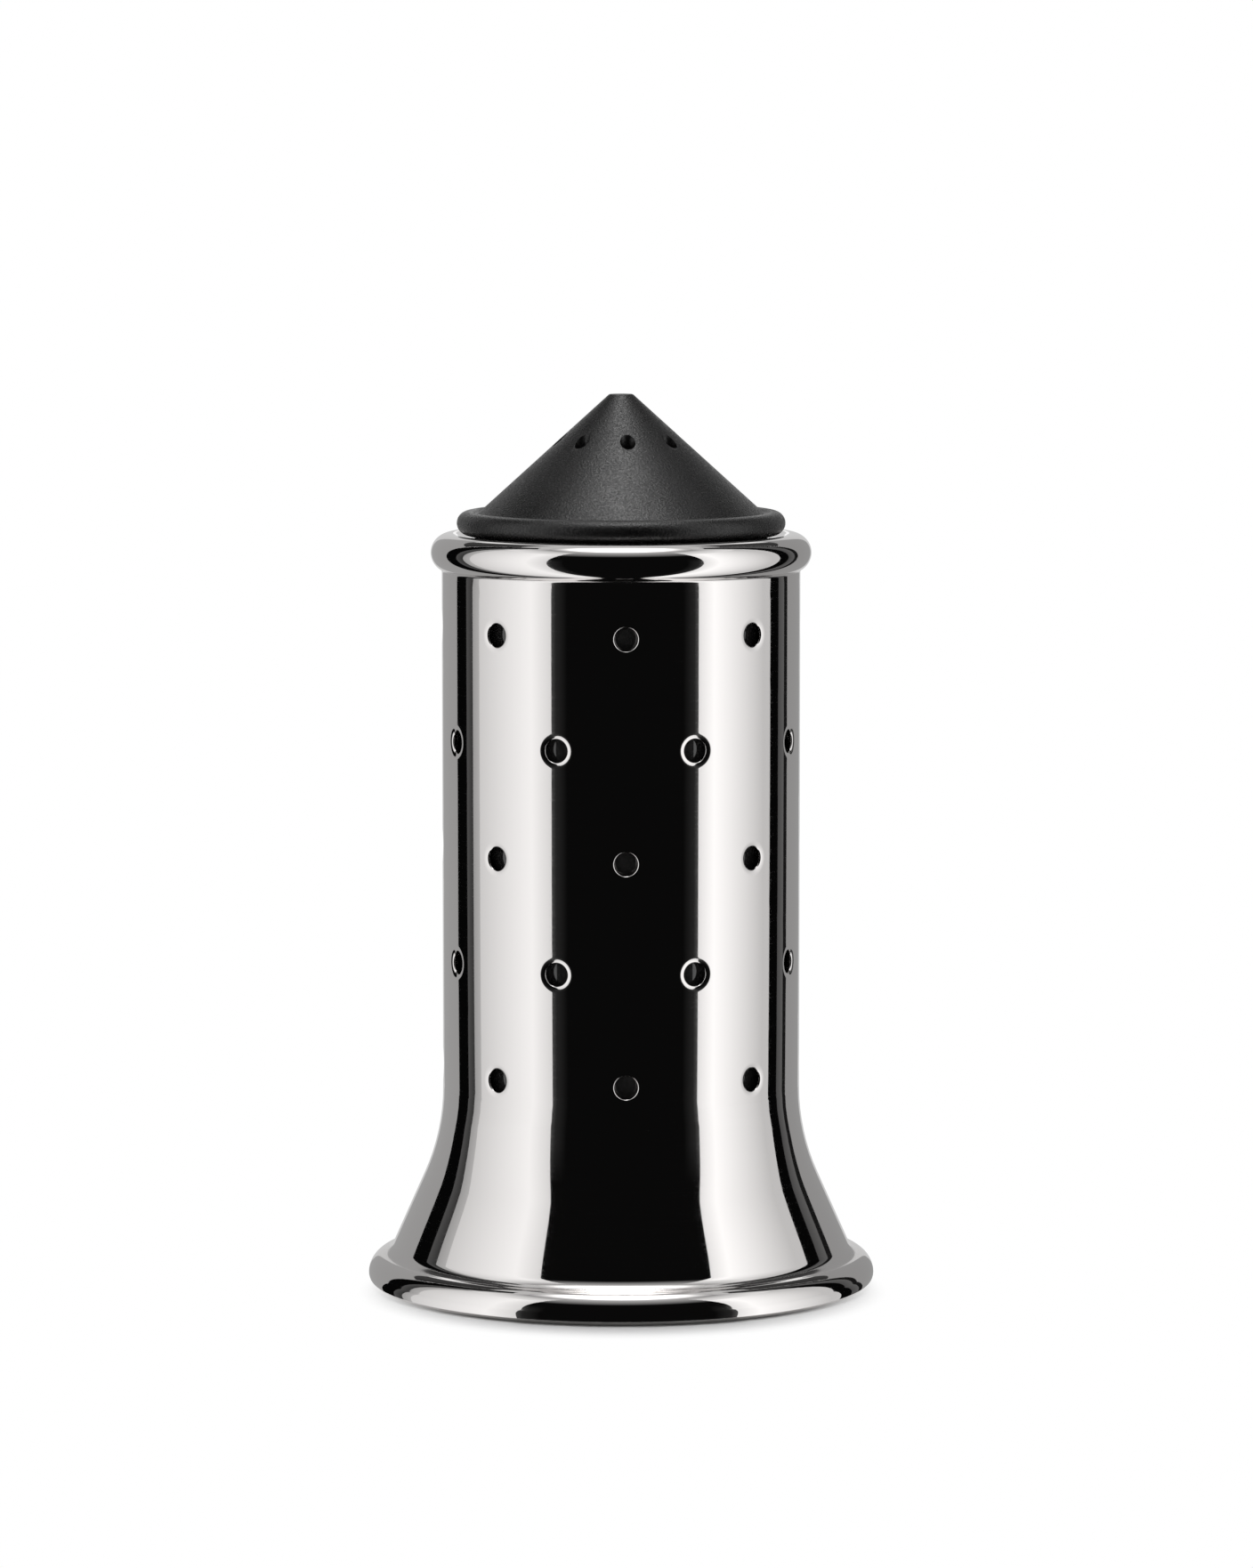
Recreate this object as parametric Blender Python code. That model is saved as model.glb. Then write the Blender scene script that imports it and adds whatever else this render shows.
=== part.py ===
"""Salt shaker: a perforated steel sleeve round a plastic pot, with a conical screw cap on top.

Lengths are in metres. +Z is up, and the origin is the middle of the foot on the table.
Sections are lists of (radius, height) points, turned about the Z axis.
"""

import math

import bmesh
import bpy
from mathutils import Matrix, Vector

MM = 0.001

# Fineness of the round shapes
FACETS = 48
HOLE_FACETS = 12
ARC_STEP = math.radians(20)
ARC_CHORD = 2.2 * MM
SHARP_ANGLE = math.radians(35)
MERGE_DISTANCE = 0.0005 * MM

# Clearances between pieces
SEAT_GAP = 0.3 * MM
RUNNING_CLEARANCE = 0.3 * MM
POT_CLEARANCE = 0.7 * MM
LIP_CLEARANCE = 0.8 * MM

# Steel sleeve
SHEET = 0.7 * MM
SLEEVE_RADIUS = 18.4 * MM
SLEEVE_HEIGHT = 77.3 * MM
TOP_BEAD_SECTION = 1.8 * MM
TOP_BEAD_PROUD = 1.1 * MM
FLARE_BLEND = 22.7 * MM
FLARE_ANGLE = math.radians(24)
FLARE_SPREAD = 5.65 * MM
BASE_BEAD_SECTION = 1.9 * MM
CREASE_INSET = 0.2 * MM
FOOT_BEND = 0.3 * MM
FOOT_WIDTH = 2.55 * MM

# Punched holes of the sleeve
HOLES_PER_ROW = 8
HOLE_ROWS = 5
HOLE_RADIUS = 1.2 * MM
TOP_ROW_DROP = 5.6 * MM
BOTTOM_ROW_RISE = 2.7 * MM

# Salt pot
POT_WALL = 2.5 * MM
POT_FLOOR = 2.0 * MM
POT_EDGE = 0.5 * MM

# Base plate
PLATE_THICKNESS = 1.0 * MM
PLATE_GRIP = 0.6 * MM
PLATE_DISH = 0.5 * MM
PLATE_MARGIN = 2.0 * MM
PLATE_EDGE = 0.3 * MM
COLLAR_WALL = 1.2 * MM
COLLAR_HEIGHT = 2.2 * MM

# Screw thread between cap and pot
THREAD_LEAD = 3.0 * MM
THREAD_TURNS = 1.25
THREAD_HEIGHT = 0.6 * MM
THREAD_ROOT_WIDTH = 1.6 * MM
THREAD_CREST_WIDTH = 1.0 * MM
THREAD_SINK = 0.4 * MM
THREAD_FADE_STEPS = 5
THREAD_RISE = 1.4 * MM

# Dispenser cap
CAP_HEIGHT = 14.4 * MM
CAP_WALL = 1.6 * MM
RIM_OVERHANG = 1.86 * MM
RIM_SECTION = 1.2 * MM
RIM_ARC = 135
TIP_RADIUS = 1.3 * MM
TIP_ROUND = 0.5 * MM
SPIGOT_LENGTH = 9.0 * MM
SPIGOT_WALL = 1.5 * MM
SPIGOT_EDGE = 0.4 * MM
POUR_HOLES = 8
POUR_HOLE_RADIUS = 0.78 * MM
POUR_CIRCLE_RADIUS = 6.7 * MM
POUR_HOLE_TURN = math.radians(4.7)

# Cap seal
SEAL_EDGE = 0.15 * MM

# The front of the shaker, where the first hole of a row lies
FRONT = -math.pi / 2

# Radii of the pieces, from the sleeve's wall inwards
POT_RADIUS = SLEEVE_RADIUS - SHEET - POT_CLEARANCE
POT_BORE = POT_RADIUS - POT_WALL
SPIGOT_CREST = POT_BORE - RUNNING_CLEARANCE
SPIGOT_RADIUS = SPIGOT_CREST - THREAD_HEIGHT
POT_CREST = SPIGOT_RADIUS + RUNNING_CLEARANCE
SPIGOT_BORE = SPIGOT_RADIUS - SPIGOT_WALL
LIP_RADIUS = SPIGOT_CREST + LIP_CLEARANCE
RIM_RADIUS = LIP_RADIUS + RIM_OVERHANG

# Radii and heights of the sleeve's base, from the wall outwards
CREASE_RADIUS = SLEEVE_RADIUS + FLARE_SPREAD
BASE_BEAD_RADIUS = CREASE_RADIUS + CREASE_INSET
FOOT_CORNER = FOOT_BEND + SHEET
FOOT_CORNER_RADIUS = BASE_BEAD_RADIUS + BASE_BEAD_SECTION - FOOT_CORNER
FOOT_INNER_RADIUS = FOOT_CORNER_RADIUS - FOOT_WIDTH
CREASE_ANGLE = math.degrees(math.acos(-CREASE_INSET / BASE_BEAD_SECTION))
CREASE_HEIGHT = FOOT_CORNER + BASE_BEAD_SECTION * math.sin(math.radians(CREASE_ANGLE))
BLEND_END_RADIUS = SLEEVE_RADIUS + FLARE_BLEND * (1 - math.cos(FLARE_ANGLE))
BLEND_END_HEIGHT = CREASE_HEIGHT + (CREASE_RADIUS - BLEND_END_RADIUS) / math.tan(FLARE_ANGLE)
FLARE_TOP = BLEND_END_HEIGHT + FLARE_BLEND * math.sin(FLARE_ANGLE)

# Radii and heights of the sleeve's top bead
TOP_BEAD_RADIUS = SLEEVE_RADIUS + TOP_BEAD_PROUD - TOP_BEAD_SECTION
TOP_BEAD_HEIGHT = SLEEVE_HEIGHT - TOP_BEAD_SECTION
NECK_ANGLE = math.degrees(math.acos((SLEEVE_RADIUS - TOP_BEAD_RADIUS) / TOP_BEAD_SECTION))
NECK_HEIGHT = TOP_BEAD_HEIGHT - TOP_BEAD_SECTION * math.sin(math.radians(NECK_ANGLE))

# Heights where the loose pieces sit
PLATE_SEAT = SHEET + SEAT_GAP
POT_SEAT = PLATE_SEAT + PLATE_DISH + PLATE_THICKNESS + SEAT_GAP
POT_TOP = SLEEVE_HEIGHT - SHEET - SEAT_GAP
SEAL_SEAT = POT_TOP + SEAT_GAP
CAP_SEAT = SLEEVE_HEIGHT + SEAT_GAP
CAP_THREAD_START = THREAD_RISE - SPIGOT_LENGTH
POT_THREAD_START = CAP_SEAT + CAP_THREAD_START + THREAD_LEAD / 2 - POT_SEAT


def clear_scene():
    """Removes every object that the scene starts with."""
    for item in list(bpy.data.objects):
        bpy.data.objects.remove(item, do_unlink=True)


def finish(name, colour, roughness, metallic):
    """A Principled material with one colour."""
    material = bpy.data.materials.new(name)
    material.use_nodes = True
    shader = material.node_tree.nodes["Principled BSDF"]
    shader.inputs["Base Color"].default_value = (*colour, 1)
    shader.inputs["Roughness"].default_value = roughness
    shader.inputs["Metallic"].default_value = metallic
    material.diffuse_color = (*colour, 1)
    return material


def arc(centre, radius, start, end):
    """Points on a circle of the section, from one angle to another, in degrees from the outward radius."""
    sweep = abs(math.radians(end - start))
    steps = max(2, math.ceil(sweep / ARC_STEP), math.ceil(sweep * radius / ARC_CHORD))
    angles = [math.radians(start + (end - start) * step / steps) for step in range(steps + 1)]
    return [(centre[0] + radius * math.cos(a), centre[1] + radius * math.sin(a)) for a in angles]


def rounded(before, corner, after, radius):
    """Points of a fillet at a corner of the section, between the points before and after it."""
    corner = Vector(corner)
    inward = (Vector(before) - corner).normalized()
    outward = (Vector(after) - corner).normalized()
    half = inward.angle(outward) / 2
    middle = corner + (inward + outward).normalized() * radius / math.sin(half)
    start = corner + inward * radius / math.tan(half) - middle
    turn = start.angle_signed(corner + outward * radius / math.tan(half) - middle)
    first = math.degrees(math.atan2(start.y, start.x))
    return arc(middle, radius, first, first - math.degrees(turn))


def mesh_object(name, shape, material, parent):
    """Turns a bmesh into a named object with smooth round faces, under its parent."""
    bmesh.ops.recalc_face_normals(shape, faces=shape.faces)
    mesh = bpy.data.meshes.new(name)
    shape.to_mesh(mesh)
    shape.free()
    mesh.shade_smooth()
    mesh.set_sharp_from_angle(angle=SHARP_ANGLE)
    if material is not None:
        mesh.materials.append(material)
    item = bpy.data.objects.new(name, mesh)
    bpy.context.scene.collection.objects.link(item)
    item.parent = parent
    return item


def turned(name, section, material, parent):
    """A closed section turned about the Z axis. A section that starts and ends on the axis stays solid."""
    shape = bmesh.new()
    points = [shape.verts.new((radius, 0, height)) for radius, height in section]
    pairs = list(zip(points, points[1:]))
    if section[0][0] > 0:
        pairs.append((points[-1], points[0]))
    edges = [shape.edges.new(pair) for pair in pairs]
    bmesh.ops.spin(
        shape,
        geom=points + edges,
        cent=(0, 0, 0),
        axis=(0, 0, 1),
        angle=2 * math.pi,
        steps=FACETS,
        use_merge=True,
    )
    bmesh.ops.remove_doubles(shape, verts=shape.verts, dist=MERGE_DISTANCE)
    return mesh_object(name, shape, material, parent)


def combine(target, other, operation):
    """Cuts a helper shape out of the target, or joins it on. The helper is not a piece of the shaker."""
    other.hide_render = True
    other.display_type = "WIRE"
    modifier = target.modifiers.new(other.name, "BOOLEAN")
    modifier.operation = operation
    modifier.object = other
    modifier.solver = "EXACT"


def punch(name, target, places, radius, depth):
    """Cuts round holes, each centred on its place and running along that place's local Z axis."""
    half_facet = Matrix.Rotation(math.pi / HOLE_FACETS, 4, "Z")
    shape = bmesh.new()
    for place in places:
        bmesh.ops.create_cone(
            shape,
            cap_ends=True,
            segments=HOLE_FACETS,
            radius1=radius,
            radius2=radius,
            depth=depth,
            matrix=place @ half_facet,
        )
    combine(target, mesh_object(name, shape, None, target), "DIFFERENCE")


def add_thread(name, target, wall_radius, crest_radius, start_height):
    """Joins a right-hand helical ridge to a wall. The ridge fades into the wall at both its ends."""
    side = math.copysign(1, crest_radius - wall_radius)
    steps = round(THREAD_TURNS * FACETS)
    shape = bmesh.new()
    rings = []
    for step in range(steps + 1):
        turn = (step + 0.5) / FACETS
        fade = min(step, steps - step, THREAD_FADE_STEPS) / THREAD_FADE_STEPS
        crest = wall_radius + side * (THREAD_HEIGHT * fade - THREAD_SINK / 2 * (1 - fade))
        height = start_height + THREAD_LEAD * turn
        corners = (
            (wall_radius - side * THREAD_SINK, -THREAD_ROOT_WIDTH / 2),
            (crest, -THREAD_CREST_WIDTH / 2),
            (crest, THREAD_CREST_WIDTH / 2),
            (wall_radius - side * THREAD_SINK, THREAD_ROOT_WIDTH / 2),
        )
        spin = Matrix.Rotation(2 * math.pi * turn, 4, "Z")
        rings.append([shape.verts.new(spin @ Vector((r, 0, height + rise))) for r, rise in corners])
    for ring, following in zip(rings, rings[1:]):
        for side_index in range(len(ring)):
            beside = (side_index + 1) % len(ring)
            shape.faces.new((ring[side_index], ring[beside], following[beside], following[side_index]))
    shape.faces.new(rings[0])
    shape.faces.new(rings[-1])
    combine(target, mesh_object(name, shape, None, target), "UNION")


def sleeve_section():
    """Outside of the steel sheet from lip to foot, then its inside back up, one sheet away."""
    top_bead = (TOP_BEAD_RADIUS, TOP_BEAD_HEIGHT)
    neck = (SLEEVE_RADIUS, NECK_HEIGHT)
    flare_centre = (SLEEVE_RADIUS + FLARE_BLEND, FLARE_TOP)
    flare_end = 180 + math.degrees(FLARE_ANGLE)
    crease = (CREASE_RADIUS, CREASE_HEIGHT)
    base_bead = (BASE_BEAD_RADIUS, FOOT_CORNER)
    foot_corner = (FOOT_CORNER_RADIUS, FOOT_CORNER)
    outside = [(LIP_RADIUS, SLEEVE_HEIGHT)]
    outside += arc(top_bead, TOP_BEAD_SECTION, 90, -NECK_ANGLE)
    outside += arc(flare_centre, FLARE_BLEND, 180, flare_end)
    outside += arc(base_bead, BASE_BEAD_SECTION, CREASE_ANGLE, 0)
    outside += arc(foot_corner, FOOT_CORNER, 0, -90)[1:]
    inside = [(FOOT_INNER_RADIUS, 0), (FOOT_INNER_RADIUS, SHEET)]
    inside += arc(foot_corner, FOOT_BEND, -90, 0)
    inside += arc(base_bead, BASE_BEAD_SECTION - SHEET, 0, CREASE_ANGLE)[1:]
    inside += arc(crease, SHEET, CREASE_ANGLE - 180, flare_end - 360)[1:]
    inside += arc(flare_centre, FLARE_BLEND + SHEET, flare_end, 180)
    inside += arc(neck, SHEET, 180, 180 - NECK_ANGLE)
    inside += arc(top_bead, TOP_BEAD_SECTION - SHEET, -NECK_ANGLE, 90)[1:]
    inside += [(LIP_RADIUS, SLEEVE_HEIGHT - SHEET)]
    return outside + inside


def sleeve_hole_places():
    """Where the punched holes go: evenly spaced rows, with every second row turned by half a step."""
    top_row = NECK_HEIGHT - TOP_ROW_DROP
    bottom_row = FLARE_TOP + BOTTOM_ROW_RISE
    step = 2 * math.pi / HOLES_PER_ROW
    to_wall = Matrix.Translation((SLEEVE_RADIUS - SHEET / 2, 0, 0)) @ Matrix.Rotation(math.pi / 2, 4, "Y")
    places = []
    for row in range(HOLE_ROWS):
        height = top_row + (bottom_row - top_row) * row / (HOLE_ROWS - 1)
        for hole in range(HOLES_PER_ROW):
            turn = FRONT + step * (hole + (row % 2) / 2)
            lift = Matrix.Translation((0, 0, height))
            places.append(lift @ Matrix.Rotation(turn, 4, "Z") @ to_wall)
    return places


def steel_sleeve(parent):
    """The polished sleeve with its beads, flare, foot ring and punched holes."""
    steel = finish("polished_steel", (0.78, 0.77, 0.75), 0.05, 1)
    sleeve = turned("steel_sleeve", sleeve_section(), steel, parent)
    punch("sleeve_holes", sleeve, sleeve_hole_places(), HOLE_RADIUS, 3 * SHEET)


def salt_container(parent):
    """The smooth black pot that holds the salt, with a thread inside its mouth."""
    plastic = finish("gloss_black_plastic", (0.012, 0.012, 0.013), 0.18, 0)
    top = POT_TOP - POT_SEAT
    section = [
        (0, 0),
        (POT_RADIUS - POT_EDGE, 0),
        (POT_RADIUS, POT_EDGE),
        (POT_RADIUS, top - POT_EDGE),
        (POT_RADIUS - POT_EDGE, top),
        (POT_BORE, top),
        *arc((POT_BORE - POT_FLOOR, 2 * POT_FLOOR), POT_FLOOR, 0, -90),
        (0, POT_FLOOR),
    ]
    pot = turned("salt_container", section, plastic, parent)
    pot.location.z = POT_SEAT
    add_thread("pot_thread", pot, POT_BORE, POT_CREST, POT_THREAD_START)


def base_plate(parent):
    """The disc that snaps in above the foot ring, with a collar that centres the pot."""
    plastic = finish("satin_black_plastic", (0.016, 0.016, 0.017), 0.45, 0)
    radius = FOOT_INNER_RADIUS + PLATE_GRIP
    dish_radius = FOOT_INNER_RADIUS - PLATE_MARGIN
    collar_bore = POT_RADIUS + RUNNING_CLEARANCE
    collar_top = PLATE_THICKNESS + PLATE_DISH + COLLAR_HEIGHT
    section = [
        (0, PLATE_DISH),
        (dish_radius - PLATE_DISH, PLATE_DISH),
        (dish_radius, 0),
        (radius - PLATE_EDGE, 0),
        (radius, PLATE_EDGE),
        (radius, PLATE_THICKNESS),
        (collar_bore + COLLAR_WALL, PLATE_THICKNESS),
        (collar_bore + COLLAR_WALL, collar_top),
        (collar_bore, collar_top),
        (collar_bore, PLATE_THICKNESS + PLATE_DISH),
        (0, PLATE_THICKNESS + PLATE_DISH),
    ]
    plate = turned("base_plate", section, plastic, parent)
    plate.location.z = PLATE_SEAT


def cap_seal(parent):
    """The soft ring round the cap's spigot, inside the opening of the steel lip."""
    soft = finish("soft_seal", (0.03, 0.03, 0.032), 0.6, 0)
    inner = SPIGOT_RADIUS + RUNNING_CLEARANCE
    outer = LIP_RADIUS - RUNNING_CLEARANCE
    top = CAP_SEAT - SEAT_GAP - SEAL_SEAT
    section = [
        (inner, SEAL_EDGE),
        (inner, top - SEAL_EDGE),
        (inner + SEAL_EDGE, top),
        (outer - SEAL_EDGE, top),
        (outer, top - SEAL_EDGE),
        (outer, SEAL_EDGE),
        (outer - SEAL_EDGE, 0),
        (inner + SEAL_EDGE, 0),
    ]
    seal = turned("cap_seal", section, soft, parent)
    seal.location.z = SEAL_SEAT


def cap_section():
    """Outside of the cap from tip to rim, then its spigot and the hollow cone inside it."""
    rim = (RIM_RADIUS - RIM_SECTION, RIM_SECTION)
    rim_round = arc(rim, RIM_SECTION, RIM_ARC, -90)
    valley = Vector(rim_round[0])
    tip = Vector((TIP_RADIUS, CAP_HEIGHT))
    slope = (valley - tip).normalized()
    hollow_start = tip + Vector((slope.y, -slope.x)) * CAP_WALL
    hollow_top = CAP_HEIGHT - CAP_WALL
    top_radius = hollow_start.x + slope.x * (hollow_top - hollow_start.y) / slope.y
    foot_height = hollow_start.y + slope.y * (SPIGOT_BORE - hollow_start.x) / slope.x
    return [
        (0, CAP_HEIGHT),
        *rounded((0, CAP_HEIGHT), tip, valley, TIP_ROUND),
        *rim_round,
        (SPIGOT_RADIUS, 0),
        (SPIGOT_RADIUS, SPIGOT_EDGE - SPIGOT_LENGTH),
        (SPIGOT_RADIUS - SPIGOT_EDGE, -SPIGOT_LENGTH),
        (SPIGOT_BORE, -SPIGOT_LENGTH),
        (SPIGOT_BORE, foot_height),
        (top_radius, hollow_top),
        (0, hollow_top),
    ]


def pour_hole_places():
    """Where the pour holes go: upright, evenly spaced on a circle round the tip."""
    step = 2 * math.pi / POUR_HOLES
    out = Matrix.Translation((POUR_CIRCLE_RADIUS, 0, CAP_HEIGHT / 2))
    return [Matrix.Rotation(FRONT + POUR_HOLE_TURN + step * hole, 4, "Z") @ out for hole in range(POUR_HOLES)]


def dispenser_cap(parent):
    """The conical cap with its pour holes and the threaded spigot that screws into the pot."""
    plastic = finish("grained_charcoal_plastic", (0.045, 0.045, 0.047), 0.55, 0)
    cap = turned("dispenser_cap", cap_section(), plastic, parent)
    cap.location.z = CAP_SEAT
    add_thread("cap_thread", cap, SPIGOT_RADIUS, SPIGOT_CREST, CAP_THREAD_START)
    punch("pour_holes", cap, pour_hole_places(), POUR_HOLE_RADIUS, CAP_HEIGHT)


def main():
    """Builds every piece of the shaker under one empty at its foot."""
    clear_scene()
    shaker = bpy.data.objects.new("salt_shaker", None)
    bpy.context.scene.collection.objects.link(shaker)
    steel_sleeve(shaker)
    salt_container(shaker)
    base_plate(shaker)
    cap_seal(shaker)
    dispenser_cap(shaker)


main()
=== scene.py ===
"""Looks of a salt shaker: a perforated, mirror-polished steel sleeve round a black pot, with a conical cap.

Lengths are in metres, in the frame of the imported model: +Z is up and -Y is the front.
A section is drawn in the XZ plane as (radius, height) and turned about the Z axis.
"""

import logging
import math
from dataclasses import dataclass, field
from enum import Enum
from typing import Optional, Union

import bmesh
import bpy
import numpy as np
from mathutils import Matrix, Vector


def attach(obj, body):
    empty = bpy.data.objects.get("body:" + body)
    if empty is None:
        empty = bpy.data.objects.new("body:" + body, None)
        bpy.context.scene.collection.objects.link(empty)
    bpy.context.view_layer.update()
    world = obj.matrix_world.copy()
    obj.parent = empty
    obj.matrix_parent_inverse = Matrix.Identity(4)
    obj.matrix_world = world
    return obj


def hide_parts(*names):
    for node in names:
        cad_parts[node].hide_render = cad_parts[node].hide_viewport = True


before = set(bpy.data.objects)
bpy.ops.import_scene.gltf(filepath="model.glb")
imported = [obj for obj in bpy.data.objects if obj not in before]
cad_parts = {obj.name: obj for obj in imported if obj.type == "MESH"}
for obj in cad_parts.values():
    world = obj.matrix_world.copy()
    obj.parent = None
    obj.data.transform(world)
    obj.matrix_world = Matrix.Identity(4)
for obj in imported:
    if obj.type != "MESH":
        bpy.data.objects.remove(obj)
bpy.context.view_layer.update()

MM = 0.001
FULL_TURN = 2 * math.pi
SEGMENTS_AROUND = 192
ARC_STEP = 3.0
FEWEST_ARC_STEPS = 2
COARSE_ARC_STEP = 7.5
SMALL_RADIUS = 1.0 * MM
MERGE_DISTANCE = 0.0015 * MM
SHARP_ANGLE = math.radians(32)
CARD_GLOW = "card_glow"
FRONT_GLOW = 0.0035
FRONT_TOP = 26.0
STRIP_TOP = 39.5
BACK_TOP = 33.0
PANEL_REACH = 1.41
ROOF_REACH = 0.3

Point = tuple[float, float]
Place = tuple[float, float, float]
Colour = tuple[float, float, float]
Angle = Union[float, np.ndarray]
Piece = bpy.types.Object
Material = bpy.types.Material
Socket = bpy.types.NodeSocket
SocketOrValue = Union[Socket, float, tuple]

log = logging.getLogger("salt_shaker")


class Body(Enum):
    """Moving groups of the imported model."""

    SHAKER = "shaker_body"
    SEAL = "seal"
    CAP = "cap"


class Cut(Enum):
    """Ways to combine two solids."""

    REMOVE = "DIFFERENCE"
    ADD = "UNION"


class Side(Enum):
    """Sides of a round wall, as the sign of the way from the wall."""

    OUTSIDE = 1
    INSIDE = -1


def on_circle(centre: Point, radius: float, degrees: float) -> Point:
    """Point of a section at an angle round a centre.

    Args:
        centre: Radius and height of the circle's centre.
        radius: Radius of the circle.
        degrees: Angle from the outward direction towards +Z.

    Returns:
        Radius and height of the point.
    """
    angle = math.radians(degrees)
    return centre[0] + radius * math.cos(angle), centre[1] + radius * math.sin(angle)


def angle_of(centre: Point, point: Point) -> float:
    """Angle in degrees at which a section's point lies round a centre."""
    return math.degrees(math.atan2(point[1] - centre[1], point[0] - centre[0]))


def nearest(turn: Angle, period: float) -> Angle:
    """Brings an angle within half a period of zero."""
    return (turn + period / 2) % period - period / 2


@dataclass(frozen=True)
class Hollow:
    """Concave blend between a straight wall and a round bead of a section.

    Attributes:
        centre: Centre of the blend.
        radius: Radius of the blend.
        on_wall: Where the blend leaves the wall.
        on_bead: Where the blend meets the bead.
    """

    centre: Point
    radius: float
    on_wall: Point
    on_bead: Point

    @classmethod
    def between(
        cls, wall: Point, upwards: Point, bead: Point, bead_radius: float, radius: float
    ) -> "Hollow":
        """Finds the blend that touches the wall on its outer side and the bead from outside.

        Args:
            wall: A point of the wall.
            upwards: Unit direction along the wall, away from the bead.
            bead: Centre of the bead.
            bead_radius: Radius of the bead.
            radius: Radius of the blend.

        Returns:
            The blend.
        """
        along = Vector(upwards)
        outward = Vector((along.y, -along.x))
        if outward.x < 0:
            outward.negate()
        start = Vector(wall) + outward * radius - Vector(bead)
        half = start.dot(along)
        reach = -half + math.sqrt(half * half - start.length_squared + (bead_radius + radius) ** 2)
        centre = Vector(bead) + start + along * reach
        touch = Vector(bead) + (centre - Vector(bead)).normalized() * bead_radius
        return cls(tuple(centre), radius, tuple(centre - outward * radius), tuple(touch))

    def sweep(self) -> float:
        """Degrees turned from the wall to the bead, positive from the outward direction towards +Z."""
        turn = angle_of(self.centre, self.on_bead) - angle_of(self.centre, self.on_wall)
        return nearest(turn, 360)


class Lathe:
    """Draws a section in edit mode, stretch by stretch, and turns it into a solid about the Z axis."""

    def __init__(self, name: str, start: Point) -> None:
        """Starts a section at one point.

        Args:
            name: Name of the new object.
            start: Radius and height of the first point.
        """
        bpy.ops.object.select_all(action="DESELECT")
        bpy.ops.mesh.primitive_circle_add(vertices=3, radius=MM, location=(0, 0, 0))
        self.piece = bpy.context.object
        self.piece.name = name
        bpy.ops.object.mode_set(mode="EDIT")
        bpy.ops.mesh.select_all(action="SELECT")
        bpy.ops.mesh.merge(type="CENTER")
        bpy.ops.transform.translate(value=(start[0], 0, start[1]))
        self.at = start

    def line(self, point: Point, steps: int = 1) -> None:
        """Extrudes the section straight to a point.

        Args:
            point: Radius and height of the end.
            steps: Number of equal stretches.
        """
        move = ((point[0] - self.at[0]) / steps, 0, (point[1] - self.at[1]) / steps)
        for _ in range(steps):
            bpy.ops.mesh.extrude_region_move(TRANSFORM_OT_translate={"value": move})
        self.at = point

    def arc(self, centre: Point, degrees: float, step: float = ARC_STEP) -> None:
        """Spins the section's end round a centre, in coarser steps where the arc is small.

        Args:
            centre: Radius and height of the centre.
            degrees: Sweep, positive from the outward direction towards +Z.
            step: Largest sweep of one step, in degrees.
        """
        radius = math.dist(centre, self.at)
        if radius < SMALL_RADIUS:
            step = COARSE_ARC_STEP
        steps = max(FEWEST_ARC_STEPS, math.ceil(abs(degrees) / step))
        bpy.ops.mesh.spin(
            steps=steps,
            angle=math.radians(degrees),
            center=(centre[0], 0, centre[1]),
            axis=(0, 1, 0),
        )
        self.at = on_circle(centre, radius, angle_of(centre, self.at) + degrees)

    def round_corner(self, corner: Point, after: Point, radius: float) -> None:
        """Goes straight to a corner and round it, towards the point after it.

        Args:
            corner: The sharp corner that is rounded.
            after: A later point of the section.
            radius: Radius of the rounding.
        """
        back = (Vector(self.at) - Vector(corner)).normalized()
        ahead = (Vector(after) - Vector(corner)).normalized()
        half = back.angle(ahead) / 2
        middle = Vector(corner) + (back + ahead).normalized() * radius / math.sin(half)
        reach = radius / math.tan(half)
        first = tuple(Vector(corner) + back * reach)
        last = tuple(Vector(corner) + ahead * reach)
        turn = angle_of(tuple(middle), last) - angle_of(tuple(middle), first)
        self.line(first)
        self.arc(tuple(middle), nearest(turn, 360))

    def round_corners(self, corners: list[Point], after: Point, radius: float) -> None:
        """Goes round several corners in turn.

        Args:
            corners: The sharp corners that are rounded.
            after: A later point of the section.
            radius: Radius of each rounding.
        """
        for corner, following in zip(corners, [*corners[1:], after]):
            self.round_corner(corner, following, radius)

    def turn(self, segments: int = SEGMENTS_AROUND) -> Piece:
        """Turns the section all round the Z axis and closes its seams.

        Args:
            segments: Number of steps of the turn.

        Returns:
            The turned object, in object mode.
        """
        bpy.ops.mesh.select_all(action="SELECT")
        bpy.ops.mesh.spin(steps=segments, angle=FULL_TURN, center=(0, 0, 0), axis=(0, 0, 1))
        close_edit()
        return self.piece


def close_edit() -> None:
    """Merges doubles, turns all faces outwards and leaves edit mode."""
    bpy.ops.mesh.select_all(action="SELECT")
    bpy.ops.mesh.remove_doubles(threshold=MERGE_DISTANCE)
    bpy.ops.mesh.normals_make_consistent(inside=False)
    bpy.ops.object.mode_set(mode="OBJECT")


def only(piece: Piece) -> None:
    """Selects one object alone and makes it active.

    Args:
        piece: The object.
    """
    bpy.ops.object.select_all(action="DESELECT")
    piece.select_set(True)
    bpy.context.view_layer.objects.active = piece


def joined(name: str, pieces: list[Piece]) -> Piece:
    """Joins objects into one mesh and merges where they meet.

    Args:
        name: Name of the result.
        pieces: Objects to join, of which the first one stays.

    Returns:
        The joined object.
    """
    only(pieces[0])
    for piece in pieces:
        piece.select_set(True)
    bpy.ops.object.join()
    pieces[0].name = name
    bpy.ops.object.mode_set(mode="EDIT")
    close_edit()
    return pieces[0]


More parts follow.
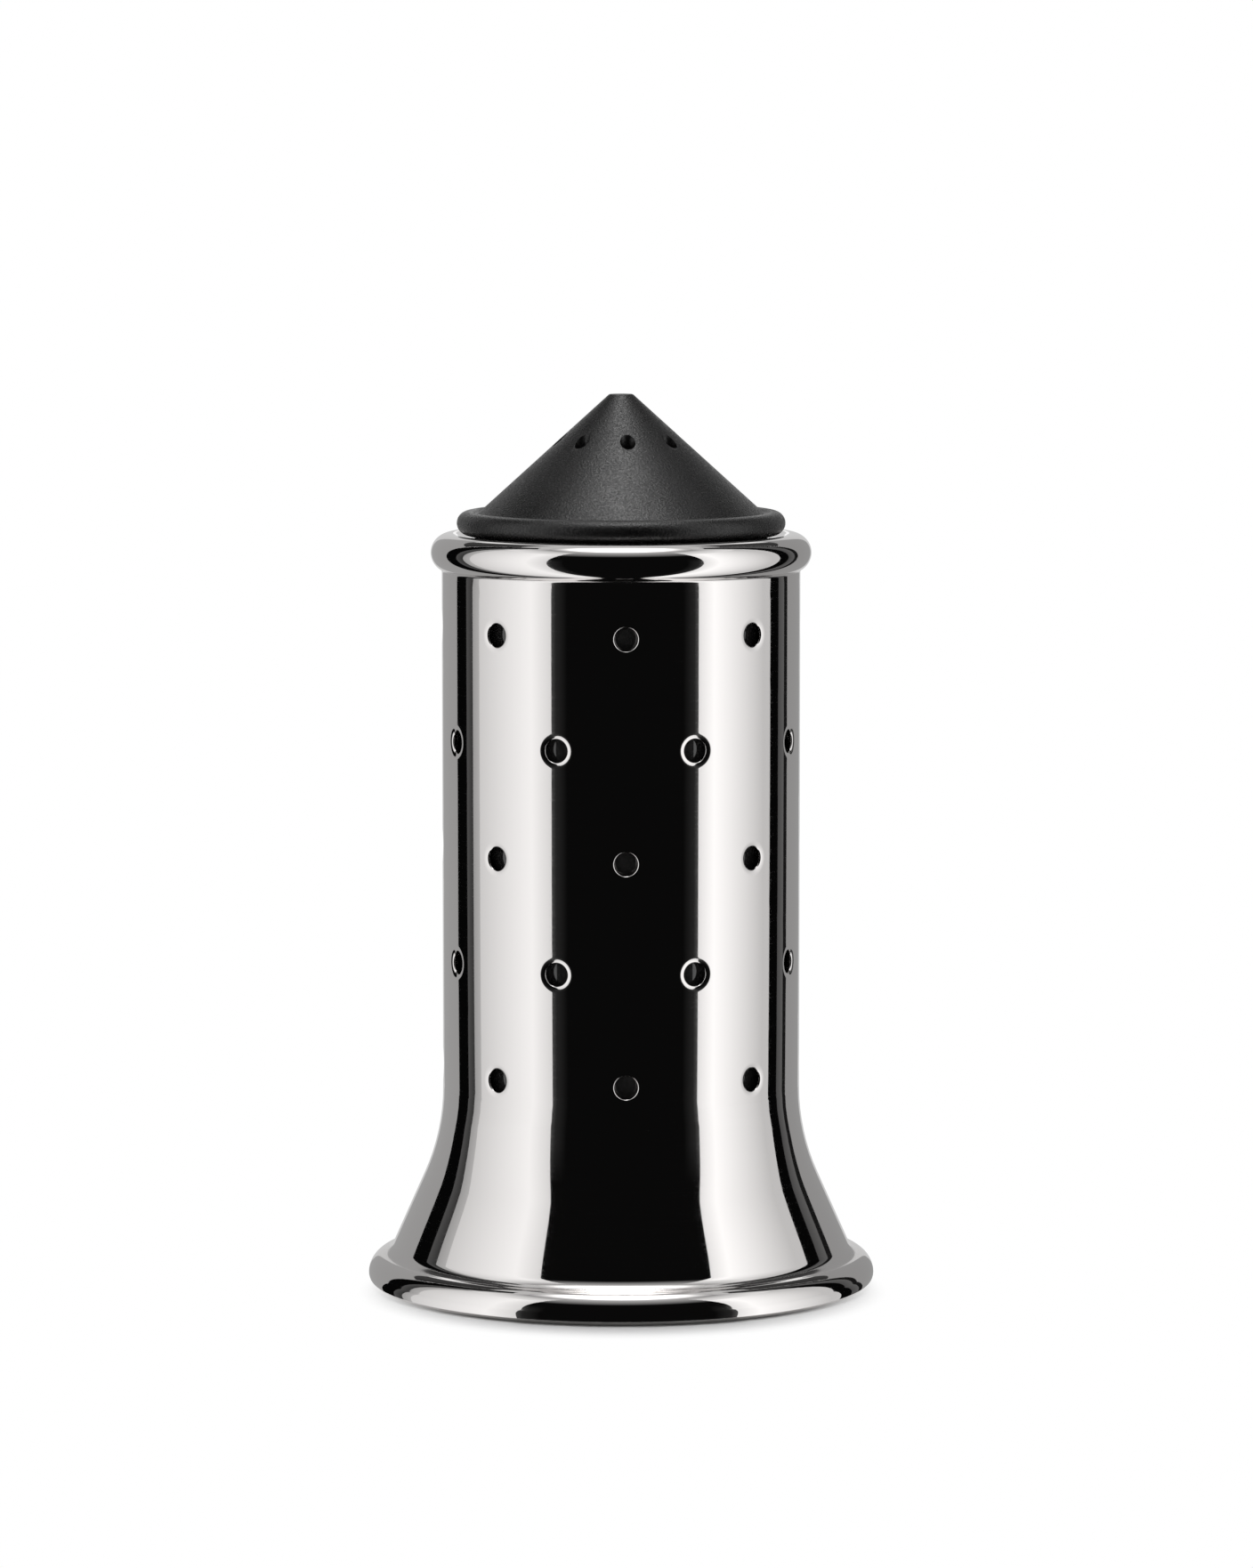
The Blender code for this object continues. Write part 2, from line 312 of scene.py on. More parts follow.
def copied(piece: Piece, move: Vector) -> Piece:
    """Copies an object with its own mesh and moves the copy's vertices.

    Args:
        piece: Object to copy.
        move: How far the copy's vertices move.

    Returns:
        The copy.
    """
    twin = piece.copy()
    twin.data = piece.data.copy()
    twin.data.transform(Matrix.Translation(move))
    bpy.context.scene.collection.objects.link(twin)
    return twin


def apply_modifier(piece: Piece, kind: str, **settings: object) -> None:
    """Adds a modifier, sets it and applies it.

    Args:
        piece: Object to change.
        kind: Blender's name of the modifier.
        **settings: Values of the modifier.
    """
    only(piece)
    modifier = piece.modifiers.new(kind.lower(), kind)
    for key, value in settings.items():
        setattr(modifier, key, value)
    bpy.ops.object.modifier_apply(modifier=modifier.name)


def combine(target: Piece, tool: Piece, cut: Cut) -> None:
    """Cuts a tool out of a solid or adds it on, and removes the tool.

    Args:
        target: Solid that stays.
        tool: Solid that goes.
        cut: What happens to the target.
    """
    apply_modifier(target, "BOOLEAN", operation=cut.value, object=tool, solver="EXACT")
    bpy.data.objects.remove(tool)


def smooth(piece: Piece) -> None:
    """Shades an object smooth, apart from its sharp edges."""
    only(piece)
    bpy.ops.object.shade_smooth_by_angle(angle=SHARP_ANGLE)


class Graph:
    """Node tree that is filled node by node.

    Attributes:
        MIX_INPUTS: Numbers of a Mix node's two inputs for colours.
        MIX_OUTPUT: Number of its output for a colour.
    """

    MIX_INPUTS = (6, 7)
    MIX_OUTPUT = 2

    def __init__(self, tree: bpy.types.NodeTree) -> None:
        """Empties the tree."""
        self.tree = tree
        self.tree.nodes.clear()

    def add(self, kind: str, values: dict, **settings: object) -> bpy.types.Node:
        """Adds a node.

        Args:
            kind: Blender's name of the node without its ShaderNode prefix.
            values: Sockets to link or constants to set, by the input's name or number.
            **settings: Attributes of the node.

        Returns:
            The node.
        """
        node = self.tree.nodes.new("ShaderNode" + kind)
        for key, value in settings.items():
            setattr(node, key, value)
        self.fill(node, values)
        return node

    def fill(self, node: bpy.types.Node, values: dict) -> None:
        """Links or sets a node's inputs.

        Args:
            node: The node.
            values: Sockets to link or constants to set, by the input's name or number.
        """
        for key, value in values.items():
            if isinstance(value, Socket):
                self.tree.links.new(value, node.inputs[key])
            else:
                node.inputs[key].default_value = value

    def math(self, operation: str, *values: SocketOrValue) -> Socket:
        """Adds a Math node over two or three values and returns its result."""
        return self.add("Math", dict(enumerate(values)), operation=operation).outputs[0]

    def vector(self, operation: str, *values: SocketOrValue) -> Socket:
        """Adds a Vector Math node and returns its vector."""
        return self.add("VectorMath", dict(enumerate(values)), operation=operation).outputs["Vector"]

    def distance(self, place: Socket, point: Place) -> Socket:
        """Adds a Vector Math node and returns how far a place is from a point."""
        return self.add("VectorMath", {0: place, 1: point}, operation="DISTANCE").outputs["Value"]

    def ramp(self, value: Socket, start: float, end: float, low: float, high: float) -> Socket:
        """Maps a value smoothly from one range to another.

        Args:
            value: Socket with the value.
            start: Value that gives low.
            end: Value that gives high.
            low: Result at start.
            high: Result at end.

        Returns:
            Socket with the result, clamped to its range.
        """
        names = {"Value": value, "From Min": start, "From Max": end, "To Min": low, "To Max": high}
        return self.add("MapRange", names, interpolation_type="SMOOTHSTEP").outputs["Result"]

    def noise(self, vector: Socket, scale: float, detail: float = 1.0, rough: float = 0.5) -> Socket:
        """Adds a noise pattern and returns its value, around one half.

        Args:
            vector: Coordinates of the pattern.
            scale: Features for each unit of the coordinates.
            detail: Number of finer octaves.
            rough: Strength of the finer octaves.

        Returns:
            Socket with the value.
        """
        values = {"Vector": vector, "Scale": scale, "Detail": detail, "Roughness": rough}
        return self.add("TexNoise", values).outputs["Fac"]

    def blend(self, factor: Socket, first: Colour, second: Colour) -> Socket:
        """Mixes two colours by a factor and returns the colour."""
        colours = dict(zip(self.MIX_INPUTS, ((*first, 1), (*second, 1))))
        return self.add("Mix", {"Factor": factor, **colours}, data_type="RGBA").outputs[self.MIX_OUTPUT]

    def bump(self, height: Socket, strength: float, depth: float, under: Optional[Socket] = None) -> Socket:
        """Adds a bump.

        Args:
            height: Socket with the height.
            strength: Strength of the bump.
            depth: Depth of a height of one.
            under: Normal of another bump that this one lies on.

        Returns:
            Socket with the normal.
        """
        values = {"Height": height, "Strength": strength, "Distance": depth}
        if under is not None:
            values["Normal"] = under
        return self.add("Bump", values).outputs["Normal"]

    def place(self) -> Socket:
        """Object coordinates of the surface."""
        return self.add("TexCoord", {}).outputs["Object"]


@dataclass(frozen=True)
class RoundPlace:
    """Coordinates of a turned surface inside a node tree.

    Attributes:
        along: Cosine and sine of the turn, and the run along the section, for streaks round the axis.
        section: Radius and height.
    """

    along: Socket
    section: Socket

    @classmethod
    def of(cls, graph: Graph, around: float, across: float) -> "RoundPlace":
        """Works the coordinates out from Object coordinates.

        Args:
            graph: Node tree to fill.
            around: Features in a radian round the axis.
            across: Features in a metre along the section.

        Returns:
            The coordinates.
        """
        place = graph.add("SeparateXYZ", {0: graph.place()}).outputs
        flat = graph.add("CombineXYZ", {0: place[0], 1: place[1]}).outputs[0]
        radius = graph.add("VectorMath", {0: flat}, operation="LENGTH").outputs["Value"]
        turn = graph.add("SeparateXYZ", {0: graph.vector("NORMALIZE", flat)}).outputs
        run = graph.math("MULTIPLY", graph.math("SUBTRACT", place[2], radius), across)
        cosine, sine = (graph.math("MULTIPLY", turn[axis], around) for axis in (0, 1))
        along = graph.add("CombineXYZ", {0: cosine, 1: sine, 2: run})
        section = graph.add("CombineXYZ", {0: radius, 1: place[2]})
        return cls(along.outputs[0], section.outputs[0])


def empty_material(name: str) -> tuple[Material, Graph]:
    """Starts a material without nodes.

    Args:
        name: Name of the material.

    Returns:
        The material and its node tree.
    """
    material = bpy.data.materials.new(name)
    material.use_nodes = True
    return material, Graph(material.node_tree)


def surface(name: str) -> tuple[Material, Graph, bpy.types.Node]:
    """Starts a material of the object.

    Args:
        name: Name of the material.

    Returns:
        The material, its node tree and its Principled shader.
    """
    material, graph = empty_material(name)
    shader = graph.add("BsdfPrincipled", {})
    graph.add("OutputMaterial", {"Surface": shader.outputs[0]})
    return material, graph, shader


@dataclass(frozen=True)
class PolishedSteel:
    """Mirror-polished stainless steel with fine polishing lines round the axis.

    Attributes:
        colour: Reflected colour.
        faded: Share of the colour where its tint is weakest.
        tint_scale: Changes of tint in a metre.
        tint_detail: Number of finer octaves of the tint.
        gloss: Roughness of the mirror between the lines.
        line_roughness: Roughness that the polishing lines add.
        line_range: Values of the noise at which a line starts and is full.
        line_width: Width of a polishing line.
        line_length: Length of a polishing line, in radians.
        line_strength: Strength of the lines' bump.
        line_depth: Depth of the lines.
        wave_scale: Waves of the sheet in a metre.
        wave_strength: Strength of the waves' bump.
        wave_depth: Depth of the waves.
        creases: Radius, height and dull width of each rolled crease, which the buff doesn't reach.
        crease_roughness: Roughness that is added in a crease.
        crease_core: Share of the dull width that has all of that roughness.
    """

    colour: Colour = (0.797, 0.776, 0.766)
    faded: float = 0.985
    tint_scale: float = 60.0
    tint_detail: float = 3.0
    gloss: float = 0.02
    line_roughness: float = 0.05
    line_range: tuple[float, float] = (0.46, 0.7)
    line_width: float = 0.08 * MM
    line_length: float = 0.3
    line_strength: float = 0.06
    line_depth: float = 0.004 * MM
    wave_scale: float = 160.0
    wave_strength: float = 0.12
    wave_depth: float = 0.02 * MM
    creases: tuple[Place, ...] = ()
    crease_roughness: float = 0.08
    crease_core: float = 0.3

    def material(self) -> Material:
        """Builds the node material.

        Returns:
            The material.
        """
        material, graph, shader = surface("polished_steel")
        place = RoundPlace.of(graph, 1 / self.line_length, 1 / self.line_width)
        lines = graph.noise(place.along, 1.0)
        scratched = graph.ramp(lines, *self.line_range, 0.0, self.line_roughness)
        roughness = graph.math("ADD", scratched, self.gloss)
        for radius, height, width in self.creases:
            away = graph.distance(place.section, (radius, height, 0))
            dull = graph.ramp(away, self.crease_core * width, width, self.crease_roughness, 0.0)
            roughness = graph.math("ADD", roughness, dull)
        waves = graph.noise(graph.place(), self.wave_scale)
        wavy = graph.bump(waves, self.wave_strength, self.wave_depth)
        tint = graph.noise(graph.place(), self.tint_scale, self.tint_detail)
        values = {
            "Base Color": graph.blend(tint, tuple(self.faded * part for part in self.colour), self.colour),
            "Metallic": 1.0,
            "Roughness": roughness,
            "Normal": graph.bump(lines, self.line_strength, self.line_depth, wavy),
        }
        graph.fill(shader, values)
        return material


@dataclass(frozen=True)
class MouldedPlastic:
    """Black plastic or rubber with a grain from its mould.

    Attributes:
        name: Name of the material.
        dark: Colour in the hollows of the grain.
        light: Colour on the tops of the grain.
        roughness: Lowest and highest roughness.
        grain: Size of one grain.
        grain_depth: Depth of the grain.
        grain_strength: Strength of the bump.
        specular: Strength of the mirroring, where one half is common plastic.
        grain_detail: Number of finer octaves of the grain.
        grain_rough: Strength of the finer octaves.
        speckle_range: Values of the grain at which the colour is dark and light.
        flow_scale: Marks of the plastic's flow in a metre.
        flow_detail: Number of finer octaves of the flow.
        flow_share: Share of the flow in the roughness, beside the grain.
        gloss_range: Values of that mixture that are roughest and smoothest.
    """

    name: str
    dark: Colour
    light: Colour
    roughness: tuple[float, float]
    grain: float
    grain_depth: float
    grain_strength: float
    specular: float = 0.5
    grain_detail: float = 3.0
    grain_rough: float = 0.65
    speckle_range: tuple[float, float] = (0.46, 0.62)
    flow_scale: float = 120.0
    flow_detail: float = 2.0
    flow_share: float = 0.3
    gloss_range: tuple[float, float] = (0.3, 0.7)

    def material(self) -> Material:
        """Builds the node material.

        Returns:
            The material.
        """
        material, graph, shader = surface(self.name)
        place = graph.place()
        smoothest, roughest = self.roughness
        pits = graph.noise(place, 1 / self.grain, self.grain_detail, self.grain_rough)
        flow = graph.noise(place, self.flow_scale, self.flow_detail)
        speckle = graph.ramp(pits, *self.speckle_range, 0.0, 1.0)
        grained = graph.math("MULTIPLY", pits, 1 - self.flow_share)
        marked = graph.math("ADD", grained, graph.math("MULTIPLY", flow, self.flow_share))
        values = {
            "Base Color": graph.blend(speckle, self.dark, self.light),
            "Roughness": graph.ramp(marked, *self.gloss_range, roughest, smoothest),
            "Specular IOR Level": self.specular,
            "Normal": graph.bump(pits, self.grain_strength, self.grain_depth),
        }
        graph.fill(shader, values)
        return material


CAP_PLASTIC = MouldedPlastic(
    name="grained_charcoal_plastic",
    dark=(0.002, 0.002, 0.002),
    light=(0.019, 0.018, 0.018),
    roughness=(0.17, 0.52),
    grain=0.22 * MM,
    grain_depth=0.07 * MM,
    grain_strength=0.75,
)
POT_PLASTIC = MouldedPlastic(
    name="gloss_black_plastic",
    dark=(0.03, 0.029, 0.029),
    light=(0.038, 0.037, 0.037),
    roughness=(0.02, 0.03),
    grain=1.6 * MM,
    grain_depth=0.01 * MM,
    grain_strength=0.05,
    specular=1.0,
)
PLATE_PLASTIC = MouldedPlastic(
    name="satin_black_plastic",
    dark=(0.013, 0.013, 0.014),
    light=(0.021, 0.021, 0.022),
    roughness=(0.36, 0.5),
    grain=0.3 * MM,
    grain_depth=0.03 * MM,
    grain_strength=0.3,
)
SEAL_RUBBER = MouldedPlastic(
    name="soft_seal_rubber",
    dark=(0.024, 0.024, 0.026),
    light=(0.036, 0.036, 0.038),
    roughness=(0.6, 0.75),
    grain=0.4 * MM,
    grain_depth=0.02 * MM,
    grain_strength=0.25,
)


@dataclass
class ScrewThread:
    """Right-hand ridge that runs round a wall and fades into it at both ends.

    Attributes:
        lead: Rise in one turn.
        turns: Number of turns.
        height: How far the crest stands off its wall.
        root_width: Width at the wall.
        crest_width: Width at the crest.
        sink: How deep the ridge starts inside the wall.
        fade: Turns over which an end fades out.
        steps_in_turn: Number of steps in one turn.
    """

    lead: float = 3.0 * MM
    turns: float = 1.25
    height: float = 0.6 * MM
    root_width: float = 1.6 * MM
    crest_width: float = 1.0 * MM
    sink: float = 0.4 * MM
    fade: float = 0.1
    steps_in_turn: int = 96

    def ridge(self, wall: float, side: Side, start: float) -> Piece:
        """Models the ridge as a closed solid.

        Args:
            wall: Radius of the wall.
            side: Side of the wall that the ridge stands on.
            start: Height of the ridge's middle where it starts.

        Returns:
            The ridge.
        """
        deep = wall - side.value * self.sink
        crest = wall + side.value * self.height
        lathe = Lathe("thread_ridge", (deep, start - self.root_width / 2))
        lathe.line((crest, start - self.crest_width / 2))
        lathe.line((crest, start + self.crest_width / 2))
        lathe.line((deep, start + self.root_width / 2))
        lathe.line((deep, start - self.root_width / 2))
        close_edit()
        steps = round(self.turns * self.steps_in_turn)
        apply_modifier(
            lathe.piece,
            "SCREW",
            angle=FULL_TURN * self.turns,
            screw_offset=self.lead * self.turns,
            steps=steps,
            render_steps=steps,
            use_merge_vertices=False,
        )
        self.fade_ends(lathe.piece, wall, side, steps)
        bpy.ops.object.mode_set(mode="EDIT")
        bpy.ops.mesh.select_mode(type="EDGE")
        bpy.ops.mesh.select_all(action="DESELECT")
        bpy.ops.mesh.select_non_manifold()
        bpy.ops.mesh.fill()
        bpy.ops.mesh.select_mode(type="VERT")
        close_edit()
        return lathe.piece

    def fade_ends(self, piece: Piece, wall: float, side: Side, steps: int) -> None:
        """Lowers the crest into the wall towards both ends.

        Args:
            piece: The ridge, with its rings of vertices in order.
            wall: Radius of the wall.
            side: Side of the wall that the ridge stands on.
            steps: Number of steps of the ridge.
        """
        ring = len(piece.data.vertices) // (steps + 1)
        for index, vertex in enumerate(piece.data.vertices):
            step = index // ring
            share = min(step, steps - step) / (self.fade * self.steps_in_turn)
            off_wall = side.value * (vertex.co.xy.length - wall)
            if off_wall > 0 and share < 1:
                radius = wall + side.value * (off_wall * share - self.sink / 2 * (1 - share))
                vertex.co.xy = vertex.co.xy.normalized() * radius


@dataclass
class SteelSleeve:
    """Sleeve of polished sheet: a punched wall, a rolled bead at its top, a flared base and a foot ring."""

    bead_height: float = 77.76 * MM
    wall_radius: float = 18.4 * MM
    sheet: float = 0.7 * MM
    top_bead_section: float = 1.98 * MM
    top_bead_proud: float = 1.13 * MM
    neck_blend: float = 0.3 * MM
    neck_dull: float = 0.4 * MM
    lip_radius: float = 15.0 * MM
    lip_height: float = 77.3 * MM
    lip_angle: float = 130.0
    flare_blend: float = 22.7 * MM
    flare_angle: float = 24.0
    flare_spread: float = 5.65 * MM
    flare_foot: float = 3.1 * MM
    flare_steps: int = 4
    base_bead_section: float = 2.2 * MM
    base_bead_inset: float = 0.1 * MM
    crease_blend: float = 1.8 * MM
    crease_tilt: float = 58.0
    crease_dull: float = 0.8 * MM
    foot_bend: float = 0.47 * MM
    foot_width: float = 2.38 * MM
    edge_round: float = 0.2 * MM
    holes_per_row: int = 8
    hole_rows: int = 5
    hole_radius: float = 1.18 * MM
    hole_roll: float = 0.2 * MM
    hole_break: float = 0.4 * MM
    dimple_blend: float = 1.8 * MM
    dimple_angle: float = 16.0
    top_row_drop: float = 5.75 * MM
    bottom_row_rise: float = 2.35 * MM
    columns_in_cell: int = 8
    rows_in_cell: int = 12
    rings_in_cell: tuple[float, ...] = (0.35, 1.0)

    def __post_init__(self) -> None:
        """Works out where the beads, the creases and the rows of holes lie."""
        slope = math.radians(self.flare_angle)
        bead_radius = self.wall_radius + self.top_bead_proud - self.top_bead_section
        self.top_bead = (bead_radius, self.bead_height - self.top_bead_section)
        proud = self.wall_radius - bead_radius
        self.neck = self.top_bead[1] - math.sqrt(self.top_bead_section ** 2 - proud ** 2)
        self.neck_hollow = Hollow.between(
            (self.wall_radius, self.neck), (0, -1), self.top_bead, self.top_bead_section, self.neck_blend
        )
        foot_corner = self.foot_bend + self.sheet
        crease_radius = self.wall_radius + self.flare_spread
        self.base_bead = (crease_radius - self.base_bead_inset, foot_corner)
        self.foot_corner = (self.base_bead[0] + self.base_bead_section - foot_corner, foot_corner)
        self.crease = (crease_radius, self.flare_foot)
        blend_end = self.wall_radius + self.flare_blend * (1 - math.cos(slope))
        blend_height = self.crease[1] + (crease_radius - blend_end) / math.tan(slope)
        self.flare_top = blend_height + self.flare_blend * math.sin(slope)
        self.flare_centre = (self.wall_radius + self.flare_blend, self.flare_top)
        self.crease_hollow = Hollow.between(
            self.crease,
            (-math.sin(slope), math.cos(slope)),
            self.base_bead,
            self.base_bead_section,
            self.crease_blend,
        )
        top_row = self.neck - self.top_row_drop
        bottom_row = self.flare_top + self.bottom_row_rise
        step = (top_row - bottom_row) / (self.hole_rows - 1)
        self.row_heights = [top_row - step * row for row in range(self.hole_rows)]
        self.row_step = step
        self.cell_width = FULL_TURN * self.wall_radius / (2 * self.holes_per_row)
        roll_start = self.hole_radius + self.hole_roll * (1 - math.sin(math.radians(self.dimple_angle)))
        self.dimple_radius = roll_start + self.dimple_blend * math.sin(math.radians(self.dimple_angle))

    def build(self) -> Piece:
        """Models the whole sleeve as one closed sheet.

        Returns:
            The sleeve, shaded smooth.
        """
        sleeve = joined("polished_sleeve", [self.punched_wall(), self.rolled_top(), self.flared_base()])
        smooth(sleeve)
        self.true_wall(sleeve)
        return sleeve

    def dress(self, sleeve: Piece) -> None:
        """Polishes the sleeve.

        Args:
            sleeve: The sleeve.
        """
        neck = (self.wall_radius, self.neck_hollow.on_wall[1] + self.neck_blend, self.neck_dull)
        deepest = on_circle(self.crease_hollow.centre, self.crease_blend, 180 + self.crease_tilt)
        steel = PolishedSteel(creases=(neck, (*deepest, self.crease_dull)))
        sleeve.data.materials.append(steel.material())
        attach(sleeve, Body.SHAKER.value)
        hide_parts("steel_sleeve")

    def rolled_top(self) -> Piece:
        """Turns the bead at the top and the lip inside it.

        Returns:
            The top of the sleeve, open below.
        """
        hollow = self.neck_hollow
        under = self.lip_height - self.sheet
        start = angle_of(self.top_bead, hollow.on_bead)
        rolled = on_circle(self.top_bead, self.top_bead_section - self.sheet, self.lip_angle)
        lathe = Lathe("sleeve_top", hollow.on_wall)
        lathe.arc(hollow.centre, hollow.sweep())
        lathe.arc(self.top_bead, self.lip_angle - start)
        lip = [(self.lip_radius, self.lip_height), (self.lip_radius, under)]
        lathe.round_corners(lip, rolled, self.edge_round)
        lathe.line(rolled)
        lathe.arc(self.top_bead, start - self.lip_angle, COARSE_ARC_STEP)
        lathe.line((self.wall_radius - self.sheet, hollow.on_wall[1]))
        return lathe.turn()

    def flared_base(self) -> Piece:
        """Turns the flare, the bead round the base and the foot ring under it.

        Returns:
            The base of the sleeve, open above.
        """
        hollow = self.crease_hollow
        bead_start = angle_of(self.base_bead, hollow.on_bead)
        crease_angle = angle_of(self.base_bead, self.crease)
        inner = self.foot_corner[0] - self.foot_width
        bend_end = (self.foot_corner[0], self.sheet)
        lathe = Lathe("sleeve_base", (self.wall_radius, self.flare_top))
        lathe.arc(self.flare_centre, self.flare_angle)
        lathe.line(hollow.on_wall, self.flare_steps)
        lathe.arc(hollow.centre, hollow.sweep())
        lathe.arc(self.base_bead, -bead_start)
        lathe.arc(self.foot_corner, -90)
        lathe.round_corners([(inner, 0), (inner, self.sheet)], bend_end, self.edge_round)
        lathe.line(bend_end)
        lathe.arc(self.foot_corner, 90)
        lathe.arc(self.base_bead, crease_angle, COARSE_ARC_STEP)
        inside = self.flare_blend + self.sheet
        lathe.line(on_circle(self.flare_centre, inside, 180 + self.flare_angle))
        lathe.arc(self.flare_centre, -self.flare_angle)
        return lathe.turn()

    def punched_wall(self) -> Piece:
        """Punches the holes into a flat sheet, a cell at a time, and rolls the sheet into a tube.

        Returns:
            The wall of the sleeve, open above and below.
        """
        rows = []
        for row, height in enumerate(self.row_heights):
            above = self.row_step / 2
            below = self.row_step / 2
            if row == 0:
                above = self.neck_hollow.on_wall[1] - height
            if row == self.hole_rows - 1:
                below = height - self.flare_top
            pair = joined("wall_row", [self.hole_cell(below, above), self.plain_cell(below, above)])
            apply_modifier(
                pair,
                "ARRAY",
                count=self.holes_per_row,
                use_relative_offset=False,
                use_constant_offset=True,
                constant_offset_displace=(2 * self.cell_width, 0, 0),
            )
            pair.data.transform(Matrix.Translation((row % 2 * self.cell_width, height, 0)))
            rows.append(pair)
        sheet = joined("sleeve_wall", rows)
        sheet.data.transform(Matrix.Rotation(math.pi / 2, 4, "X"))
        cells = 2 * self.holes_per_row
        apply_modifier(
            sheet,
            "SIMPLE_DEFORM",
            deform_method="BEND",
            deform_axis="Z",
            angle=FULL_TURN * (cells + 1) / cells,
        )
        sheet.data.transform(Matrix.Translation((0, -self.wall_radius, 0)))
        return sheet

    def hole_cell(self, below: float, above: float) -> Piece:
        """Models one cell of the flat sheet with its hole, which is dimpled and rolled in at its edge.

        Args:
            below: Height of the cell below the hole's centre.
            above: Height of the cell above the hole's centre.

        Returns:
            The cell, with its outside at height zero.
        """
        tilt = math.radians(self.dimple_angle)
        dip = self.dimple_blend * (1 - math.cos(tilt))
        roll_start = self.dimple_radius - self.dimple_blend * math.sin(tilt)
        lathe = Lathe("hole_cell", (self.dimple_radius, 0))
        lathe.arc((self.dimple_radius, -self.dimple_blend), self.dimple_angle)
        roll_centre = (roll_start + self.hole_roll * math.sin(tilt), -dip - self.hole_roll * math.cos(tilt))
        lathe.arc(roll_centre, 90 - self.dimple_angle)
        lathe.line((self.hole_radius + self.hole_break, -self.sheet))
        sides = 2 * (self.columns_in_cell + self.rows_in_cell)
        cell = lathe.turn(sides)
        frame_points = self.cell_frame(below, above)
        self.widen(cell, frame_points, self.dimple_radius, 0)
        self.widen(cell, frame_points, self.hole_radius + self.hole_break, -self.sheet)
        return cell

    def cell_frame(self, below: float, above: float) -> list[Vector]:
        """Points round a cell, anticlockwise from the middle of its right side.

        Args:
            below: Height of the cell below the hole's centre.
            above: Height of the cell above the hole's centre.

        Returns:
            One point for each side of the hole.
        """
        half = self.cell_width / 2
        across = np.linspace(-half, half, self.columns_in_cell + 1)
        upright = np.linspace(-below, above, self.rows_in_cell + 1)
        right = [Vector((half, y, 0)) for y in upright[:-1]]
        top = [Vector((x, above, 0)) for x in across[:0:-1]]
        left = [Vector((-half, y, 0)) for y in upright[:0:-1]]
        bottom = [Vector((x, -below, 0)) for x in across[:-1]]
        points = right + top + left + bottom
        middle = self.rows_in_cell // 2
        return points[middle:] + points[:middle]

    def widen(self, cell: Piece, frame_points: list[Vector], radius: float, height: float) -> None:
        """Extrudes a round edge of a hole out to the cell's own outline.

        Args:
            cell: The cell.
            frame_points: Points of the outline, anticlockwise from the right.
            radius: Radius of the round edge.
            height: Height of the round edge and the outline.
        """
        shape = bmesh.new()
        shape.from_mesh(cell.data)
        edge = [
            vertex
            for vertex in shape.verts
            if abs(vertex.co.xy.length - radius) + abs(vertex.co.z - height) < MERGE_DISTANCE
        ]
        sides = len(frame_points)

        def number(vertex: bmesh.types.BMVert) -> int:
            """Number of the outline's point that a vertex of the edge faces."""
            return round(math.atan2(vertex.co.y, vertex.co.x) / FULL_TURN * sides) % sides

        edge.sort(key=number)
        inner = edge
        for share in self.rings_in_cell:
            places = [vertex.co.lerp(point, share) for vertex, point in zip(edge, frame_points)]
            outer = [shape.verts.new((place.x, place.y, height)) for place in places]
            for side in range(sides):
                shape.faces.new((inner[side - 1], inner[side], outer[side], outer[side - 1]))
            inner = outer
        shape.to_mesh(cell.data)
        shape.free()

    def plain_cell(self, below: float, above: float) -> Piece:
        """Models the cell without a hole beside a hole's cell.

        Args:
            below: Height of the cell below the row.
            above: Height of the cell above the row.

        Returns:
            The cell.
        """
        bpy.ops.object.select_all(action="DESELECT")
        bpy.ops.mesh.primitive_grid_add(
            x_subdivisions=self.columns_in_cell,
            y_subdivisions=self.rows_in_cell,
            size=1,
            location=(0, 0, 0),
        )
        cell = bpy.context.object
        size = Matrix.Diagonal((self.cell_width, above + below, 1, 1))
        cell.data.transform(Matrix.Translation((self.cell_width, (above - below) / 2, 0)) @ size)
        inside = copied(cell, Vector((0, 0, -self.sheet)))
        inside.data.flip_normals()
        only(cell)
        inside.select_set(True)
        bpy.ops.object.join()
        return cell

    def true_wall(self, sleeve: Piece) -> None:
        """Gives the flat of the wall the exact normals of a cylinder, so that it mirrors without a ripple.

        Args:
            sleeve: The sleeve, already shaded smooth.
        """
        mesh = sleeve.data
        places = np.empty(len(mesh.vertices) * 3, np.float32)
        mesh.vertices.foreach_get("co", places)
        places = places.reshape(-1, 3)
        radius = np.hypot(places[:, 0], places[:, 1])
        turn = np.arctan2(places[:, 0], -places[:, 1])
        on_wall = np.abs(radius - self.wall_radius) < MERGE_DISTANCE
        step = FULL_TURN / self.holes_per_row
        for row, height in enumerate(self.row_heights):
            beside = nearest(turn - row % 2 * step / 2, step)
            apart = np.hypot(beside * self.wall_radius, places[:, 2] - height)
            on_wall &= apart > self.dimple_radius - MERGE_DISTANCE
        corners = np.empty(len(mesh.loops), np.int32)
        mesh.loops.foreach_get("vertex_index", corners)
        normals = np.empty(len(mesh.loops) * 3, np.float32)
        mesh.corner_normals.foreach_get("vector", normals)
        normals = normals.reshape(-1, 3)
        for polygon in mesh.polygons:
            loops = slice(polygon.loop_start, polygon.loop_start + polygon.loop_total)
            if on_wall[corners[loops]].all():
                flat = places[corners[loops]] * (1, 1, 0)
                normals[loops] = flat / np.linalg.norm(flat, axis=1, keepdims=True)
        mesh.normals_split_custom_set(normals)


